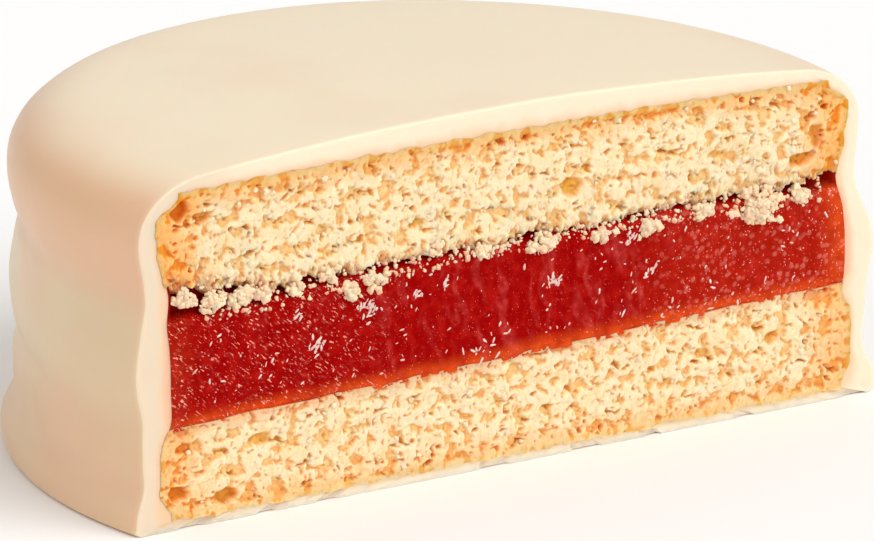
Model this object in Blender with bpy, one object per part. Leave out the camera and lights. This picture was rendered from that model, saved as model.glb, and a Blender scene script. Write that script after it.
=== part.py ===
"""Half of a round coated sandwich biscuit, cut straight down.

Two soft biscuit layers, with a jam filling between them, sit inside a smooth
white coating that is closed everywhere except at the cut. The cut passes a
little in front of the round's axis, so slightly more than half is left.

+X runs along the cut, the cut face looks along -Y and +Z is up. The origin is
on the table, under the middle of the half's bounding box.
"""

import math

import bmesh
import bpy

MM = 0.001

# Touching pieces keep this gap.
GAP = 0.3 * MM

# The round as a whole
HEIGHT = 27.0 * MM
CUT_BEFORE_AXIS = 6.1 * MM
BASE_EDGE_ROUND = 0.5 * MM

# The coating's wall from the table up, as (height, radius)
FOOT_SWELL = (1.1 * MM, 33.3 * MM)
LOWER_GROOVE = (4.3 * MM, 32.25 * MM)
LOWER_SWELL = (7.2 * MM, 32.5 * MM)
MIDDLE_SWELL = (11.8 * MM, 32.95 * MM)
WAIST = (17.1 * MM, 31.8 * MM)
UPPER_SWELL = (21.2 * MM, 32.3 * MM)

# The rounded shoulder between the wall and the top
SHOULDER_RISE = 3.9 * MM
SHOULDER_REACH = 5.5 * MM
SHOULDER_REACH_TO_BACK = 0.6 * MM
SHOULDER_SQUARENESS = 2.2

# The upper half of the round sits to the left of the lower half.
UPPER_SHIFT = -0.95 * MM
FOOT_SHIFT = 0.25 * MM
SHIFT_HEIGHT = 15.0 * MM
SHIFT_SPREAD = 1.3 * MM
FOOT_FADE = 2.5 * MM

# Slow unevenness of the poured coating: (depth, waves round, waves up, phase)
UNEVENNESS = (
    (0.13 * MM, 3, 0.9, 0.7),
    (0.09 * MM, 5, -1.7, 2.1),
    (0.05 * MM, 8, 1.3, 4.0),
)

# The room inside the coating, from its floor to its roof, as (height, radius)
FLOOR_EDGE = (0.9 * MM, 30.2 * MM)
LOWER_BISCUIT_LOW = (2.8 * MM, 31.1 * MM)
LOWER_BISCUIT_HIGH = (6.0 * MM, 31.1 * MM)
LOWER_SEAM = (8.3 * MM, 30.3 * MM)
JAM_LOW = (10.8 * MM, 30.4 * MM)
JAM_HIGH = (14.6 * MM, 30.4 * MM)
UPPER_SEAM = (17.2 * MM, 30.0 * MM)
UPPER_BISCUIT_LOW = (19.8 * MM, 30.7 * MM)
UPPER_BISCUIT_HIGH = (22.6 * MM, 31.0 * MM)
ROOF_EDGE = (24.4 * MM, 29.0 * MM)
ROOF_CROWN = 0.4 * MM

# Where the layers meet, and how much each seam climbs for each unit to the right
JAM_FLOOR = 8.2 * MM
JAM_FLOOR_CLIMB = 0.025
JAM_ROOF = 16.4 * MM
JAM_ROOF_CLIMB = 0.012

# Mesh density
SEGMENTS = 72
WALL_HEIGHTS = 12
SHOULDER_STEPS = 6
CAP_RINGS = 3
LAYER_HEIGHTS = 6

# How sharp an edge has to be to stay sharp in shading
SHARP_ANGLE = math.radians(40)

AXIS_Y = -(FOOT_SWELL[1] - CUT_BEFORE_AXIS) / 2
CUT_Y = AXIS_Y - CUT_BEFORE_AXIS

WALL = (FOOT_SWELL, LOWER_GROOVE, LOWER_SWELL, MIDDLE_SWELL, WAIST, UPPER_SWELL)
ROOM = (
    FLOOR_EDGE,
    LOWER_BISCUIT_LOW,
    LOWER_BISCUIT_HIGH,
    LOWER_SEAM,
    JAM_LOW,
    JAM_HIGH,
    UPPER_SEAM,
    UPPER_BISCUIT_LOW,
    UPPER_BISCUIT_HIGH,
    ROOF_EDGE,
)


def spread(start, end, steps):
    """Even values from start to end, both included."""
    return [start + (end - start) * step / steps for step in range(steps + 1)]


def eased_radius(height, stations):
    """Radius at a height, easing from each (height, radius) station to the next."""
    if height <= stations[0][0]:
        return stations[0][1]
    for (low, radius_low), (high, radius_high) in zip(stations, stations[1:]):
        if height <= high:
            part = (height - low) / (high - low)
            ease = (1 - math.cos(math.pi * part)) / 2
            return radius_low + (radius_high - radius_low) * ease
    return stations[-1][1]


def layer_shift(height):
    """How far the round's middle lies to the right at a height."""
    upper = 1 / (1 + math.exp(-(height - SHIFT_HEIGHT) / SHIFT_SPREAD))
    foot = math.exp(-((height / FOOT_FADE) ** 2))
    return UPPER_SHIFT * upper + FOOT_SHIFT * foot


def unevenness(angle, height):
    """Slow waves in the coating, fading out towards the flat base."""
    fade = min(1.0, height / FOOT_SWELL[0])
    turn = 2 * math.pi * height / HEIGHT
    waves = (
        depth * math.sin(round_waves * angle + up_waves * turn + phase)
        for depth, round_waves, up_waves, phase in UNEVENNESS
    )
    return fade * sum(waves)


def place(radius, angle, height):
    """A point on the round, given as radius, angle and height."""
    x = layer_shift(height) + radius * math.cos(angle)
    y = AXIS_Y + radius * math.sin(angle)
    return (x, y, height)


def shoulder_reach(angle):
    """Width of the rounded shoulder, looser at the back."""
    return SHOULDER_REACH + SHOULDER_REACH_TO_BACK * math.sin(angle)


def top_height(radius, angle):
    """Height of the coating's top and shoulder at a radius."""
    wall = UPPER_SWELL[1]
    reach = shoulder_reach(angle)
    into_shoulder = max(0.0, (radius - (wall - reach)) / reach)
    rounding = max(0.0, 1 - into_shoulder**SHOULDER_SQUARENESS)
    shoulder = SHOULDER_RISE * rounding ** (1 / SHOULDER_SQUARENESS)
    crown = HEIGHT - UPPER_SWELL[0] - SHOULDER_RISE
    return UPPER_SWELL[0] + shoulder + crown * (1 - (radius / wall) ** 2)


def coating_outline(angle):
    """The coating's outside from the edge of its base to its top."""
    outline = [(FOOT_SWELL[1] - BASE_EDGE_ROUND, 0.0)]
    for height in spread(BASE_EDGE_ROUND, UPPER_SWELL[0], WALL_HEIGHTS):
        outline.append((eased_radius(height, WALL) + unevenness(angle, height), height))
    wall = UPPER_SWELL[1]
    reach = shoulder_reach(angle)
    swell = unevenness(angle, UPPER_SWELL[0])
    for step in range(1, SHOULDER_STEPS):
        turn = math.pi / 2 * step / SHOULDER_STEPS
        radius = wall - reach + reach * math.cos(turn)
        outline.append((radius + swell * math.cos(turn), top_height(radius, angle)))
    for radius in spread(wall - reach, 0.0, CAP_RINGS)[:-1]:
        outline.append((radius, top_height(radius, angle)))
    return outline


def room_outline(angle):
    """The room inside the coating, from its floor to its roof."""
    outline = [(radius, height) for height, radius in ROOM]
    inner_ring = ROOF_EDGE[1] / 2
    outline.append((inner_ring, ROOF_EDGE[0] + ROOF_CROWN * 3 / 4))
    return outline


def layer_outline(low, high):
    """Outline of the layer between two seams, each given as a height at an x."""

    def outline(angle):
        side = ROOM[0][1] * math.cos(angle)
        points = []
        for height in spread(low(side), high(side), LAYER_HEIGHTS):
            points.append((eased_radius(height, ROOM) - GAP, height))
        return points

    return outline


def turned_body(name, outline, low, high):
    """A closed body whose outline may change with the angle.

    low and high are the heights of its middle, below and above.
    """
    shape = bmesh.new()
    columns = []
    for segment in range(SEGMENTS):
        angle = 2 * math.pi * segment / SEGMENTS
        columns.append([shape.verts.new(place(r, angle, z)) for r, z in outline(angle)])
    bottom = shape.verts.new(place(0.0, 0.0, low))
    top = shape.verts.new(place(0.0, 0.0, high))
    for column, following in zip(columns, columns[1:] + columns[:1]):
        for step in range(len(column) - 1):
            lower = (column[step], following[step])
            upper = (following[step + 1], column[step + 1])
            shape.faces.new(lower + upper)
        shape.faces.new((bottom, following[0], column[0]))
        shape.faces.new((top, column[-1], following[-1]))
    mesh = bpy.data.meshes.new(name)
    shape.to_mesh(mesh)
    shape.free()
    body = bpy.data.objects.new(name, mesh)
    bpy.context.scene.collection.objects.link(body)
    return body


def cut_block():
    """A block that takes away everything in front of the cut."""
    size = 4 * FOOT_SWELL[1]
    bpy.ops.mesh.primitive_cube_add(size=size, location=(0.0, CUT_Y - size / 2, 0.0))
    block = bpy.context.object
    block.name = "cut_block"
    return block


def take_away(body, cutter):
    """Subtract a cutter from a body."""
    modifier = body.modifiers.new("take_away_" + cutter.name, "BOOLEAN")
    modifier.operation = "DIFFERENCE"
    modifier.solver = "EXACT"
    modifier.object = cutter


def settle(body, material):
    """Keep the cut shape as the body's own mesh, smooth apart from its edges."""
    body.data.materials.clear()
    view = bpy.context.evaluated_depsgraph_get()
    mesh = bpy.data.meshes.new_from_object(body.evaluated_get(view))
    body.modifiers.clear()
    body.data = mesh
    mesh.materials.clear()
    mesh.materials.append(material)
    mesh.shade_smooth()
    mesh.set_sharp_from_angle(angle=SHARP_ANGLE)


def plain_material(name, colour, roughness):
    """A Principled material of one colour; none of the food is metallic."""
    material = bpy.data.materials.new(name)
    material.use_nodes = True
    shader = material.node_tree.nodes["Principled BSDF"]
    shader.inputs["Base Color"].default_value = (*colour, 1.0)
    shader.inputs["Roughness"].default_value = roughness
    shader.inputs["Metallic"].default_value = 0.0
    return material


def build():
    """Make the coating, both biscuit layers and the filling."""
    for item in list(bpy.data.objects):
        bpy.data.objects.remove(item, do_unlink=True)

    def jam_floor(side):
        return JAM_FLOOR + JAM_FLOOR_CLIMB * side

    def jam_roof(side):
        return JAM_ROOF + JAM_ROOF_CLIMB * side

    floor = FLOOR_EDGE[0] + GAP
    roof = ROOF_EDGE[0] - GAP
    room_roof = ROOF_EDGE[0] + ROOF_CROWN

    block = cut_block()
    room = turned_body("room", room_outline, FLOOR_EDGE[0], room_roof)
    coating = turned_body("coating", coating_outline, 0.0, HEIGHT)
    lower_outline = layer_outline(lambda side: floor, lambda side: jam_floor(side) - GAP / 2)
    jam_outline = layer_outline(
        lambda side: jam_floor(side) + GAP / 2,
        lambda side: jam_roof(side) - GAP / 2,
    )
    upper_outline = layer_outline(lambda side: jam_roof(side) + GAP / 2, lambda side: roof)
    lower = turned_body("lower_biscuit", lower_outline, floor, JAM_FLOOR - GAP / 2)
    jam = turned_body("jam_filling", jam_outline, JAM_FLOOR + GAP / 2, JAM_ROOF - GAP / 2)
    upper = turned_body("upper_biscuit", upper_outline, JAM_ROOF + GAP / 2, room_roof - GAP)

    take_away(coating, room)
    for body in (coating, lower, jam, upper):
        take_away(body, block)

    settle(coating, plain_material("white_coating", (0.86, 0.74, 0.56), 0.38))
    settle(lower, plain_material("lower_sponge", (0.90, 0.66, 0.33), 0.9))
    settle(jam, plain_material("red_jam", (0.42, 0.01, 0.008), 0.2))
    settle(upper, plain_material("upper_sponge", (0.90, 0.68, 0.36), 0.9))
    for cutter in (room, block):
        bpy.data.objects.remove(cutter, do_unlink=True)


build()
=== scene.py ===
"""Half of a coated sandwich biscuit, cut open: its finish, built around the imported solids.

The file is laid out as an add-on and run as a script. The coating, the two
biscuit layers, the jam, the loose crumbs and the sugar are meshes worked out
from the sizes below, and each takes its place from the solids of the frame.
"""

import math

import bpy
import numpy as np
from bpy.props import FloatProperty, FloatVectorProperty, IntProperty, PointerProperty
from mathutils import Matrix, Vector
from mathutils.bvhtree import BVHTree


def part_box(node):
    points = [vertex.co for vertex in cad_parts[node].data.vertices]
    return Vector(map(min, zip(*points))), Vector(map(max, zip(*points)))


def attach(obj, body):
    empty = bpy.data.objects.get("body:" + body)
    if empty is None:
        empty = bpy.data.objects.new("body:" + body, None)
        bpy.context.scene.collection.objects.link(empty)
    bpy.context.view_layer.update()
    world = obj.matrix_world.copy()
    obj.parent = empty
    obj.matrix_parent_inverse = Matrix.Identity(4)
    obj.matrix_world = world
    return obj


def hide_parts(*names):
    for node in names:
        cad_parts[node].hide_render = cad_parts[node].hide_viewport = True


bl_info = {
    "name": "Coated Sandwich Biscuit Half",
    "version": (1, 0, 0),
    "blender": (4, 5, 0),
    "location": "3D View > Sidebar > Biscuit",
    "description": "Builds a cut coated sandwich biscuit with sponge layers and jam",
    "category": "Object",
}

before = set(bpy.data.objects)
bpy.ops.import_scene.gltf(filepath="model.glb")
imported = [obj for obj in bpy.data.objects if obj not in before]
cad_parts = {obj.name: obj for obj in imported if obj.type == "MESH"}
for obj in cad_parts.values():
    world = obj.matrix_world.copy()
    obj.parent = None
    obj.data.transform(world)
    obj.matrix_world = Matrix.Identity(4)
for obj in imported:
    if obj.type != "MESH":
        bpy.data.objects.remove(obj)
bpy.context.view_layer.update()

MM = 0.001

# Places taken from the frame
COATING_LOW, COATING_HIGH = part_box("coating")
CUT_Y = COATING_LOW.y
HEIGHT = COATING_HIGH.z

# The round's wall, shared with the solids, as (height, radius)
CUT_BEFORE_AXIS = 6.1 * MM
AXIS_Y = CUT_Y + CUT_BEFORE_AXIS
WALL = (
    (1.1 * MM, 33.3 * MM),
    (4.3 * MM, 32.25 * MM),
    (7.2 * MM, 32.5 * MM),
    (11.8 * MM, 32.95 * MM),
    (17.1 * MM, 31.8 * MM),
    (21.2 * MM, 32.3 * MM),
)
BASE_EDGE_ROUND = 0.5 * MM
SHOULDER_RISE = 3.9 * MM
SHOULDER_REACH = 5.5 * MM
SHOULDER_REACH_TO_BACK = 0.6 * MM
SHOULDER_SQUARENESS = 2.2

# The room inside the coating, as (height, radius)
ROOM = (
    (0.9 * MM, 30.2 * MM),
    (2.8 * MM, 31.1 * MM),
    (6.0 * MM, 31.1 * MM),
    (8.3 * MM, 30.3 * MM),
    (10.8 * MM, 30.4 * MM),
    (14.6 * MM, 30.4 * MM),
    (17.2 * MM, 30.0 * MM),
    (19.8 * MM, 30.7 * MM),
    (22.6 * MM, 31.0 * MM),
    (24.4 * MM, 29.0 * MM),
)
ROOM_FLOOR = ROOM[0][0]
ROOM_ROOF = ROOM[-1][0]
ROOF_CROWN = 0.4 * MM

# How the round leans: the upper layer sits to the left, the foot to the right
UPPER_SHIFT = -0.95 * MM
FOOT_SHIFT = 0.25 * MM
SHIFT_HEIGHT = 15.0 * MM
SHIFT_SPREAD = 1.3 * MM
FOOT_FADE = 2.5 * MM

# Seams between the layers
JAM_FLOOR = 8.2 * MM
JAM_FLOOR_CLIMB = 0.025
JAM_ROOF = 16.4 * MM
JAM_ROOF_CLIMB = 0.012
SEAM_GAP = 0.15 * MM
HALF_WIDTH = 29.5 * MM

# Slow unevenness of the coating: (depth, waves round, waves up, phase)
UNEVENNESS = (
    (0.13 * MM, 3, 0.9, 0.7),
    (0.09 * MM, 5, -1.7, 2.1),
    (0.05 * MM, 8, 1.3, 4.0),
)


# ---------------------------------------------------------------- noise


def hashed(across, up, seed):
    """A repeatable value from 0 to 1 for each whole-numbered cell."""
    mixed = (across.astype(np.int64) + 4096) * 73856093
    mixed = (mixed ^ ((up.astype(np.int64) + 4096) * 19349663)) & 0x7FFFFFFF
    mixed = (mixed ^ (seed * 83492791)) & 0x7FFFFFFF
    mixed = ((mixed ^ (mixed >> 13)) * 1274126177) & 0x7FFFFFFF
    mixed = ((mixed ^ (mixed >> 15)) * 461845907) & 0x7FFFFFFF
    mixed = mixed ^ (mixed >> 14)
    return (mixed & 0xFFFFF) / 0xFFFFF


def smooth(part):
    """Ease a value from 0 to 1."""
    part = np.clip(part, 0.0, 1.0)
    return part * part * (3 - 2 * part)


def ramp(value, low, high):
    """0 below low, 1 above high, eased between."""
    return smooth((value - low) / (high - low))


def fade(part):
    """Ease a value from 0 to 1, smoother still at both ends."""
    return part**3 * (part * (6 * part - 15) + 10)


def noise(across, up, size, seed):
    """Rolling noise from about -1 to 1 with swells about as wide as size."""
    u = across / size
    v = up / size
    cell_u = np.floor(u)
    cell_v = np.floor(v)
    total = 0.0
    for step_u in (0, 1):
        for step_v in (0, 1):
            turn = 2 * np.pi * hashed(cell_u + step_u, cell_v + step_v, seed)
            away_u = u - cell_u - step_u
            away_v = v - cell_v - step_v
            weight = fade(1 - np.abs(away_u)) * fade(1 - np.abs(away_v))
            total = total + weight * (np.cos(turn) * away_u + np.sin(turn) * away_v)
    return 1.6 * total


def layered_noise(across, up, size, seed, layers=3):
    """Noise with finer and weaker layers added, from about -1 to 1."""
    total = np.zeros_like(across)
    weight = 1.0
    weights = 0.0
    for layer in range(layers):
        total += weight * noise(across, up, size / 2**layer, seed + layer)
        weights += weight
        weight *= 0.55
    return total / weights**0.7


def billows(across, up, size, seed, layers):
    """Rounded lumps parted by creases, from 0 to about 1, with finer ones on them."""
    total = np.zeros_like(across)
    weight = 1.0
    for layer in range(layers):
        turn = 0.7 * (layer + 1)
        u = across * math.cos(turn) - up * math.sin(turn)
        v = across * math.sin(turn) + up * math.cos(turn)
        total += weight * np.abs(noise(u, v, size / 2**layer, seed + layer))
        weight *= 0.58
    return total


def crumbs_of(across, up, size, seed):
    """Cells around scattered middles: distance to the nearest, and the cell's own value."""
    u = across / size
    v = up / size
    cell_u = np.floor(u)
    cell_v = np.floor(v)
    nearest = np.full(u.shape, 9.0)
    own = np.zeros(u.shape)
    for step_u in (-1, 0, 1):
        for step_v in (-1, 0, 1):
            here_u = cell_u + step_u
            here_v = cell_v + step_v
            middle_u = here_u + 0.1 + 0.8 * hashed(here_u, here_v, seed)
            middle_v = here_v + 0.1 + 0.8 * hashed(here_u, here_v, seed + 1)
            distance = np.hypot(u - middle_u, v - middle_v)
            closer = distance < nearest
            own = np.where(closer, hashed(here_u, here_v, seed + 2), own)
            nearest = np.where(closer, distance, nearest)
    return nearest, own


def sunk(height, reach, depth):
    """How far each point lies below its surroundings, as a share of a depth."""
    return np.clip((blurred(height, reach) - height) / depth, 0.0, 1.0)


def blurred(grid, reach):
    """The grid averaged over a square of cells either way."""
    for axis in (0, 1):
        pad = [(0, 0), (0, 0)]
        pad[axis] = (reach + 1, reach)
        total = np.cumsum(np.pad(grid, pad, mode="edge"), axis=axis)
        size = 2 * reach + 1
        if axis == 0:
            grid = (total[size:] - total[:-size]) / size
        else:
            grid = (total[:, size:] - total[:, :-size]) / size
    return grid


# ---------------------------------------------------------------- outlines


def eased_radius(height, stations):
    """Radius at a height, easing from each (height, radius) station to the next."""
    radius = np.full(np.shape(height), stations[0][1], float)
    for (low, radius_low), (high, radius_high) in zip(stations, stations[1:]):
        part = np.clip((height - low) / (high - low), 0.0, 1.0)
        ease = (1 - np.cos(np.pi * part)) / 2
        radius = np.where(height > low, radius_low + (radius_high - radius_low) * ease, radius)
    return radius


def layer_shift(height):
    """How far the round's middle lies to the right at a height."""
    upper = 1 / (1 + np.exp(-(height - SHIFT_HEIGHT) / SHIFT_SPREAD))
    return UPPER_SHIFT * upper + FOOT_SHIFT * np.exp(-((height / FOOT_FADE) ** 2))


def unevenness(angle, height):
    """Slow waves in the coating, fading out towards the flat base."""
    from_base = np.minimum(1.0, height / WALL[0][0])
    turn = 2 * np.pi * height / HEIGHT
    total = 0.0
    for depth, round_waves, up_waves, phase in UNEVENNESS:
        total = total + depth * np.sin(round_waves * angle + up_waves * turn + phase)
    return from_base * total


def shoulder_reach(angle):
    """Width of the rounded shoulder, looser at the back."""
    return SHOULDER_REACH + SHOULDER_REACH_TO_BACK * np.sin(angle)


def top_height(radius, angle):
    """Height of the coating's top and shoulder at a radius."""
    wall = WALL[-1][1]
    reach = shoulder_reach(angle)
    into_shoulder = np.clip((radius - (wall - reach)) / reach, 0.0, 1.0)
    rounding = 1 - into_shoulder**SHOULDER_SQUARENESS
    shoulder = SHOULDER_RISE * rounding ** (1 / SHOULDER_SQUARENESS)
    crown = HEIGHT - WALL[-1][0] - SHOULDER_RISE
    return WALL[-1][0] + shoulder + crown * (1 - (radius / wall) ** 2)


def jam_floor(across):
    """Height of the seam under the jam."""
    return JAM_FLOOR + JAM_FLOOR_CLIMB * across


def jam_roof(across):
    """Height of the seam over the jam."""
    return JAM_ROOF + JAM_ROOF_CLIMB * across


def room_roof(across):
    """Height of the coating's underside over the upper biscuit."""
    return ROOM_ROOF + ROOF_CROWN * (1 - (across / HALF_WIDTH) ** 2)


def in_room(side, height, back):
    """Points of the room, from the cut (back 0) round to its far side (back 1).

    side runs from -1 at the left wall to 1 at the right wall.
    """
    radius = eased_radius(height, ROOM)
    start = -np.arcsin(CUT_BEFORE_AXIS / radius)
    angle = start + back * (math.radians(86) - start)
    x = layer_shift(height) + side * radius * np.cos(angle)
    y = AXIS_Y + radius * np.sin(angle)
    return np.stack([x, y, height + 0 * x], axis=-1)


# ---------------------------------------------------------------- meshes


def new_object(name, points, faces, values=None):
    """A smooth mesh object from points, faces and named values on its points."""
    mesh = bpy.data.meshes.new(name)
    mesh.from_pydata(points.tolist(), [], faces)
    for key, value in (values or {}).items():
        attribute = mesh.attributes.new(key, "FLOAT", "POINT")
        attribute.data.foreach_set("value", np.asarray(value, np.float32))
    mesh.shade_smooth()
    mesh.update()
    piece = bpy.data.objects.new(name, mesh)
    bpy.context.scene.collection.objects.link(piece)
    return piece


def grid_faces(columns, rows, start=0):
    """Quads over a grid of points stored column by column."""
    column, row = np.meshgrid(np.arange(columns - 1), np.arange(rows - 1), indexing="ij")
    corner = start + column * rows + row
    quads = np.stack([corner, corner + rows, corner + rows + 1, corner + 1], axis=-1)
    return quads.reshape(-1, 4)


def bridge_faces(first, second):
    """Quads between two rings of as many point numbers, each closed on itself."""
    first_next = np.roll(first, -1)
    second_next = np.roll(second, -1)
    return np.stack([first, first_next, second_next, second], axis=-1)


def layer_points(side, part, back, front_seams, back_seams):
    """Points of a layer: side across, part up, back from the cut to the far side."""
    across = side * HALF_WIDTH
    front = front_seams[0](across) * (1 - part) + front_seams[1](across) * part
    behind = back_seams[0](across) * (1 - part) + back_seams[1](across) * part
    settle = np.minimum(1.0, back / 0.12)
    return in_room(side, front * (1 - settle) + behind * settle, back)


def layer_object(name, front_seams, back_seams, spacing, relief):
    """A layer of the filling: a finely modelled cut face on a plain closed body."""
    columns = int(round(2 * HALF_WIDTH / spacing / 8)) * 8 + 1
    depth = front_seams[1](0.0) - front_seams[0](0.0)
    rows = int(round(depth / spacing / 8)) * 8 + 1
    side, part = np.meshgrid(np.linspace(-1, 1, columns), np.linspace(0, 1, rows), indexing="ij")
    face = layer_points(side, part, np.zeros_like(side), front_seams, back_seams)
    moved, values = relief(face, side, part)
    face = face + moved
    points = [face.reshape(-1, 3)]
    faces = grid_faces(columns, rows).tolist()

    # The rim of the cut face, thinned to every eighth point for the hidden body
    index = np.arange(columns * rows).reshape(columns, rows)
    rim = np.concatenate([index[:-1, 0], index[-1, :-1], index[:0:-1, -1], index[0, :0:-1]])
    thin = 8
    coarse = rim[::thin]
    rim_side = side.reshape(-1)[coarse]
    rim_part = part.reshape(-1)[coarse]
    total = columns * rows
    steps = np.linspace(0.02, 1.0, 16)
    rings = []
    for back in steps:
        ring = layer_points(rim_side, rim_part, np.full(len(coarse), back), front_seams, back_seams)
        rings.append(np.arange(total, total + len(coarse)))
        points.append(ring)
        total += len(coarse)
    for place, start in enumerate(rings[0]):
        following = rings[0][(place + 1) % len(coarse)]
        for step in range(thin):
            here = rim[(place * thin + step) % len(rim)]
            ahead = rim[(place * thin + step + 1) % len(rim)]
            faces.append((int(start), int(ahead), int(here)))
        ahead = rim[((place + 1) * thin) % len(rim)]
        faces.append((int(start), int(following), int(ahead)))
    for near, far in zip(rings, rings[1:]):
        faces += bridge_faces(far, near).tolist()
    faces.append(rings[-1][::-1].tolist())
    points = np.concatenate(points)
    values = {
        key: np.concatenate([value.reshape(-1), np.zeros(len(points) - value.size)])
        for key, value in values.items()
    }
    piece = new_object(name, points, faces, values)
    sharpen_rim(piece.data, rim)
    return piece


def sharpen_rim(mesh, rim):
    """Keep the edge between a cut face and the body behind it sharp in shading."""
    on_rim = np.zeros(len(mesh.vertices), bool)
    on_rim[rim] = True
    ends = np.empty(2 * len(mesh.edges), np.int32)
    mesh.edges.foreach_get("vertices", ends)
    sharp = mesh.attributes.new("sharp_edge", "BOOLEAN", "EDGE")
    sharp.data.foreach_set("value", on_rim[ends].reshape(-1, 2).all(axis=1))


def place_piece(piece, nodes, material):
    """Give a piece its material and its place in the frame."""
    piece.data.materials.append(material)
    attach(piece, "root")
    if nodes:
        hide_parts(*nodes)


# ---------------------------------------------------------------- shading


class Socket:
    """A shader value; arithmetic on it adds Math nodes."""

    def __init__(self, shader, socket):
        self.shader = shader
        self.socket = socket

    def math(self, operation, first, second):
        return self.shader.node("ShaderNodeMath", {"operation": operation}, (first, second))

    def __add__(self, other):
        return self.math("ADD", self, other)

    __radd__ = __add__

    def __sub__(self, other):
        return self.math("SUBTRACT", self, other)

    def __rsub__(self, other):
        return self.math("SUBTRACT", other, self)

    def __mul__(self, other):
        return self.math("MULTIPLY", self, other)

    __rmul__ = __mul__

    def limited(self):
        """The value kept between 0 and 1."""
        settings = {"operation": "MAXIMUM", "use_clamp": True}
        return self.shader.node("ShaderNodeMath", settings, (self, 0.0))


class Shader:
    """A material whose nodes are added by name, settings and inputs."""

    def __init__(self, name):
        self.material = bpy.data.materials.new(name)
        self.material.use_nodes = True
        self.tree = self.material.node_tree
        self.tree.nodes.clear()

    def node(self, kind, settings=None, inputs=(), output=0):
        """Add a node and return one of its outputs."""
        node = self.tree.nodes.new(kind)
        for key, value in (settings or {}).items():
            if key == "stops":
                self.set_stops(node.color_ramp, value)
            else:
                setattr(node, key, value)
        pairs = inputs.items() if isinstance(inputs, dict) else enumerate(inputs)
        for key, value in pairs:
            if isinstance(value, Socket):
                self.tree.links.new(value.socket, node.inputs[key])
            else:
                node.inputs[key].default_value = value
        return Socket(self, node.outputs[output]) if node.outputs else None

    def set_stops(self, color_ramp, stops):
        while len(color_ramp.elements) < len(stops):
            color_ramp.elements.new(0.5)
        for element, (position, colour) in zip(color_ramp.elements, stops):
            element.position = position
            element.color = (*colour, 1.0)

    def value(self, name):
        """A value stored on the mesh's points."""
        return self.node("ShaderNodeAttribute", {"attribute_name": name}, (), "Fac")

    def place(self):
        """The point's place in the object, in metres."""
        return self.node("ShaderNodeTexCoord", None, (), "Object")

    def noise(self, size, detail=2.0, roughness=0.5, place=None):
        """Noise with features of a size in metres."""
        inputs = {
            "Vector": place or self.place(),
            "Scale": 1.0 / size,
            "Detail": detail,
            "Roughness": roughness,
        }
        return self.node("ShaderNodeTexNoise", None, inputs, "Fac")

    def cells(self, size, wander):
        """Distance to the nearest of scattered points, in cells of a size in metres."""
        waves = {"Vector": self.place(), "Scale": 1.0 / size}
        waves = self.node("ShaderNodeTexNoise", None, waves, "Color")
        bent = (waves, (wander, wander, wander), self.place())
        bent = self.node("ShaderNodeVectorMath", {"operation": "MULTIPLY_ADD"}, bent)
        inputs = {"Vector": bent, "Scale": 1.0 / size}
        return self.node("ShaderNodeTexVoronoi", None, inputs, "Distance")

    def span(self, value, low, high):
        """0 where the value is low, 1 where it is high, eased between."""
        settings = {"interpolation_type": "SMOOTHSTEP"}
        return self.node("ShaderNodeMapRange", settings, (value, low, high))

    def mix(self, factor, first, second, blend="MIX"):
        """Two colours mixed; a plain colour is given as three numbers."""
        settings = {"data_type": "RGBA", "blend_type": blend}
        first = first if isinstance(first, Socket) else (*first, 1.0)
        second = second if isinstance(second, Socket) else (*second, 1.0)
        return self.node("ShaderNodeMix", settings, {0: factor, 6: first, 7: second}, 2)

    def bump(self, height, distance, strength=1.0):
        """A bumped normal."""
        inputs = {"Height": height, "Distance": distance, "Strength": strength}
        return self.node("ShaderNodeBump", None, inputs)

    def finish(self, inputs):
        """The Principled surface with these inputs; returns the material."""
        surface = self.node("ShaderNodeBsdfPrincipled", {"subsurface_method": "RANDOM_WALK"}, inputs)
        self.node("ShaderNodeOutputMaterial", None, {"Surface": surface})
        return self.material


# ---------------------------------------------------------------- settings


def colour_property(name, description, default):
    """A linear colour with limits from 0 to 1."""
    return FloatVectorProperty(
        name=name,
        description=description,
        subtype="COLOR",
        size=3,
        min=0.0,
        max=1.0,
        default=default,
    )


def length_property(name, description, default):
    """A length in metres."""
    return FloatProperty(
        name=name,
        description=description,
        default=default,
        precision=5,
        subtype="DISTANCE",
        unit="LENGTH",
    )


class BISCUIT_PG_coating(bpy.types.PropertyGroup):
    """Sizes and colours of the white coating."""

    edge_round: length_property("Edge round", "Rounding of the cut edge", 0.2 * MM)
    dent_depth: length_property("Dent depth", "Depth of the soft dents", 0.10 * MM)
    chip_depth: length_property("Chip depth", "Depth of the chips at the base", 0.35 * MM)
    colour: colour_property("Colour", "The top", (0.925, 0.775, 0.565))
    # Side and thick side are darker and warmer than the top: painted shade of the steep side, which
    # faces away from the key light.
    side: colour_property("Side", "The side where it is thin", (0.79, 0.505, 0.310))
    thick: colour_property("Thick side", "The side where it is thick", (0.775, 0.615, 0.400))
    warm: colour_property("Warm patches", "Where the biscuit shows through", (0.86, 0.53, 0.36))
    section: colour_property("Cut section", "The freshly cut coating", (0.925, 0.785, 0.600))
    # Left section: painted shade on the cut section's left end, which the light from the right reaches
    # less.
    shaded_section_left: colour_property("Left section", "Its left end", (0.805, 0.670, 0.505))
    fringe: colour_property("Fringe", "Thin coating next to the biscuit", (0.94, 0.58, 0.34))
    jam_fringe: colour_property("Jam fringe", "Thin coating next to the jam", (0.90, 0.42, 0.28))
    roughness: FloatProperty(name="Roughness", description="Surface roughness", default=0.36)


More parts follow.
